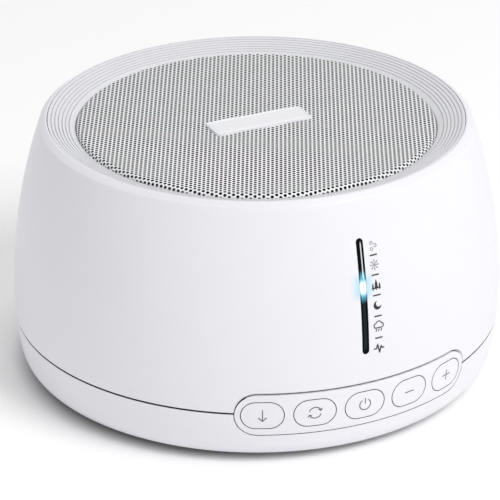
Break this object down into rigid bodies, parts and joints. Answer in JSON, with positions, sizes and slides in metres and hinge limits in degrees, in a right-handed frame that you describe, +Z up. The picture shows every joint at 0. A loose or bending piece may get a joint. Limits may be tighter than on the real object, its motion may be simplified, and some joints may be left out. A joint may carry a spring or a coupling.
{
  "type": "white noise sound machine",
  "caption": "Drum-shaped table-top sound machine with a round speaker grille on top, a vertical light bar and a row of keys on the front.",
  "frame": {"origin": "middle of the underside, on the plane the rubber feet rest on", "axes": "+Z up through the middle of the grille, -Y out through the light bar and the power key, +X to the right as seen from the front"},
  "size_m": [0.114, 0.114, 0.0611],
  "materials": {
    "housing_plastic": "fine satin moulded ABS, white",
    "grille_metal": "perforated steel sheet, powder coated pale grey",
    "acoustic_cloth": "black open-weave acoustic cloth",
    "plate_metal": "bare plate, satin white",
    "foam_gasket": "black closed-cell foam",
    "plated_steel": "pressed steel, zinc plated",
    "surround_rubber": "black butyl rubber",
    "cone_paper": "pressed black paper pulp",
    "copper": "enamelled copper winding",
    "spider_cloth": "phenolic cotton cloth, yellow brown",
    "ferrite": "ground black ferrite",
    "terminal_board": "brown phenolic board with tinned lugs",
    "screw_steel": "zinc plated steel",
    "foot_rubber": "soft matt grey rubber",
    "switch_black": "moulded black thermoplastic",
    "flex_film": "amber polyimide film",
    "carrier_plastic": "moulded black ABS",
    "smoked_lens": "polished smoked acrylic",
    "mask_black": "opaque black plastic",
    "circuit_board": "green solder mask on glass-filled board",
    "lamp_resin": "clear and yellow lamp resin",
    "socket_steel": "nickel plated steel shell",
    "chip_black": "moulded black epoxy",
    "capacitor_can": "sleeved aluminium can",
    "header_nylon": "natural nylon",
    "lead_red": "red wire insulation",
    "lead_black": "black wire insulation",
    "ribbon_film": "pale flexible ribbon",
    "key_plastic": "satin moulded ABS, white",
    "plunger_plastic": "natural acetal"
  },
  "bodies": {
    "root": {"top_housing": "housing_plastic", "base_shell": "housing_plastic", "trim_ring": "housing_plastic", "speaker_grille": "grille_metal", "grille_cloth": "acoustic_cloth", "badge_plate": "plate_metal", "speaker_gasket": "foam_gasket", "speaker_basket": "plated_steel", "speaker_surround": "surround_rubber", "spider": "spider_cloth", "top_washer": "plated_steel", "speaker_magnet": "ferrite", "magnet_yoke": "plated_steel", "speaker_terminals": "terminal_board", "speaker_screws": "screw_steel", "case_screws": "screw_steel", "rubber_feet": "foot_rubber", "keypad_panel": "housing_plastic", "tact_switches": "switch_black", "key_flex": "flex_film", "switch_carrier": "carrier_plastic", "carrier_screws": "screw_steel", "light_lens": "smoked_lens", "light_mask": "mask_black", "light_board": "circuit_board", "light_lamps": "lamp_resin", "light_screws": "screw_steel", "main_board": "circuit_board", "board_screws": "screw_steel", "power_socket": "socket_steel", "control_chip": "chip_black", "amplifier_chip": "chip_black", "capacitors": "capacitor_can", "wire_headers": "header_nylon", "speaker_lead_red": "lead_red", "speaker_lead_black": "lead_black", "key_ribbon": "ribbon_film", "light_ribbon": "ribbon_film"},
    "timer_button": {"timer_key": "key_plastic", "timer_plunger": "plunger_plastic"},
    "sound_button": {"sound_key": "key_plastic", "sound_plunger": "plunger_plastic"},
    "power_button": {"power_key": "key_plastic", "power_plunger": "plunger_plastic"},
    "volume_down_button": {"volume_down_key": "key_plastic", "volume_down_plunger": "plunger_plastic"},
    "volume_up_button": {"volume_up_key": "key_plastic", "volume_up_plunger": "plunger_plastic"},
    "driver_cone": {"speaker_cone": "cone_paper", "dust_cap": "cone_paper", "voice_coil": "copper"}
  },
  "joints": [
    {"name": "timer_press", "type": "slide", "parent": "root", "child": "timer_button", "axis": [0.4029, 0.9152, 0], "range_m": [0, 0.0006], "stiffness_N_per_m": 1200},
    {"name": "sound_press", "type": "slide", "parent": "root", "child": "sound_button", "axis": [0.2059, 0.9786, 0], "range_m": [0, 0.0006], "stiffness_N_per_m": 1200},
    {"name": "power_press", "type": "slide", "parent": "root", "child": "power_button", "axis": [0, 1, 0], "range_m": [0, 0.0006], "stiffness_N_per_m": 1200},
    {"name": "volume_down_press", "type": "slide", "parent": "root", "child": "volume_down_button", "axis": [-0.2059, 0.9786, 0], "range_m": [0, 0.0006], "stiffness_N_per_m": 1200},
    {"name": "volume_up_press", "type": "slide", "parent": "root", "child": "volume_up_button", "axis": [-0.4029, 0.9152, 0], "range_m": [0, 0.0006], "stiffness_N_per_m": 1200},
    {"name": "cone_stroke", "type": "slide", "parent": "root", "child": "driver_cone", "axis": [0, 0, 1], "range_m": [-0.0015, 0.0015], "stiffness_N_per_m": 1200, "deforming": ["speaker_surround", "spider"]}
  ]
}
